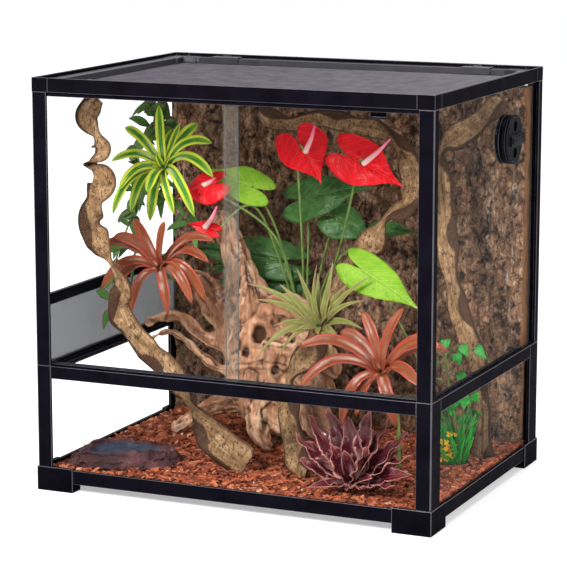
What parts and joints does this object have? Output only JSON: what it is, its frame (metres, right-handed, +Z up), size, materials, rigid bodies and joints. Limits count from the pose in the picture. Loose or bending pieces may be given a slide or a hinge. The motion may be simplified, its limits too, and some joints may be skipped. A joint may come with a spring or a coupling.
{
  "type": "reptile terrarium",
  "caption": "Glass reptile terrarium with black frame, sliding doors, side vent, screen lid, rotary cable port and a planted forest interior.",
  "frame": {"origin": "floor level under the centre of the feet's footprint; the rotary port stands 9 mm proud of the right side and is not counted", "axes": "+X to the right along the width, seen from the doors; +Y from the doors to the back; +Z up"},
  "size_m": [0.6091, 0.45, 0.59],
  "materials": {
    "frame": "satin black extruded plastic",
    "feet": "satin black moulded plastic",
    "lid": "satin black moulded plastic",
    "fittings": "gloss black moulded plastic",
    "panel_black": "black waterproof panel",
    "glass": "clear float glass",
    "mesh": "fine metal mesh, dark grey",
    "vent_mesh": "fine metal mesh, grey",
    "substrate": "red-brown bark chips",
    "background": "rough cork bark relief",
    "rock": "red-brown moulded rock",
    "driftwood": "salmon-brown weathered wood",
    "bark": "tan dried bark strip",
    "leaf_variegated": "yellow and green artificial leaf",
    "leaf_red": "red-brown artificial leaf",
    "leaf_green": "green artificial leaf with red flowers",
    "leaf_agave": "dark red artificial leaf",
    "leaf_mixed": "bright green artificial leaf"
  },
  "bodies": {
    "enclosure": {"foot_front_left": "feet", "foot_front_right": "feet", "foot_rear_left": "feet", "foot_rear_right": "feet", "bottom_rail_front": "frame", "bottom_rail_rear": "frame", "bottom_rail_left": "frame", "bottom_rail_right": "frame", "lower_post_front_left": "frame", "lower_post_front_right": "frame", "lower_post_rear_left": "frame", "lower_post_rear_right": "frame", "mid_rail_front": "frame", "mid_rail_rear": "frame", "mid_rail_left": "frame", "mid_rail_right": "frame", "upper_post_front_left": "frame", "upper_post_front_right": "frame", "upper_post_rear_left": "frame", "upper_post_rear_right": "frame", "top_rail_front": "frame", "top_rail_rear": "frame", "top_rail_left": "frame", "top_rail_right": "frame", "top_corner_caps": "frame", "lower_door_track": "frame", "upper_door_track": "frame", "track_clip": "frame", "vent_frame": "frame", "bottom_panel": "panel_black", "lower_front_glass": "glass", "lower_rear_glass": "glass", "lower_left_glass": "glass", "lower_right_glass": "glass", "upper_rear_glass": "glass", "upper_left_glass": "glass", "upper_right_glass": "glass", "vent_mesh": "vent_mesh", "port_body": "fittings", "port_nut": "fittings", "substrate": "substrate", "background_panel": "background", "water_dish": "rock", "driftwood": "driftwood", "bark_ribbons": "bark", "variegated_bromeliad": "leaf_variegated", "bromeliads": "leaf_red", "anthurium": "leaf_green", "agave": "leaf_agave", "foliage": "leaf_mixed"},
    "left_door": {"left_door": "glass"},
    "right_door": {"right_door": "glass"},
    "lid": {"lid_bars": "lid", "lid_corners": "lid", "lid_mesh": "mesh"},
    "left_latch": {"left_latch": "lid"},
    "right_latch": {"right_latch": "lid"},
    "left_cable_gate": {"left_cable_gate": "lid"},
    "right_cable_gate": {"right_cable_gate": "lid"},
    "port_cover": {"port_cover": "fittings"}
  },
  "joints": [
    {"name": "left_door_slide", "type": "slide", "parent": "enclosure", "child": "left_door", "axis": [1, 0, 0], "range_m": [0, 0.265]},
    {"name": "right_door_slide", "type": "slide", "parent": "enclosure", "child": "right_door", "axis": [1, 0, 0], "range_m": [-0.265, 0]},
    {"name": "lid_lift", "type": "slide", "parent": "enclosure", "child": "lid", "axis": [0, 0, 1], "range_m": [0, 0.12]},
    {"name": "left_latch_slide", "type": "slide", "parent": "lid", "child": "left_latch", "axis": [1, 0, 0], "range_m": [0, 0.01]},
    {"name": "right_latch_slide", "type": "slide", "parent": "lid", "child": "right_latch", "axis": [1, 0, 0], "range_m": [-0.01, 0]},
    {"name": "left_cable_gate_slide", "type": "slide", "parent": "lid", "child": "left_cable_gate", "axis": [1, 0, 0], "range_m": [0, 0.044]},
    {"name": "right_cable_gate_slide", "type": "slide", "parent": "lid", "child": "right_cable_gate", "axis": [1, 0, 0], "range_m": [-0.044, 0]},
    {"name": "port_turn", "type": "hinge", "parent": "enclosure", "child": "port_cover", "pos_m": [0.3, 0.09, 0.498], "axis": [1, 0, 0], "range_deg": [0, 90]}
  ]
}
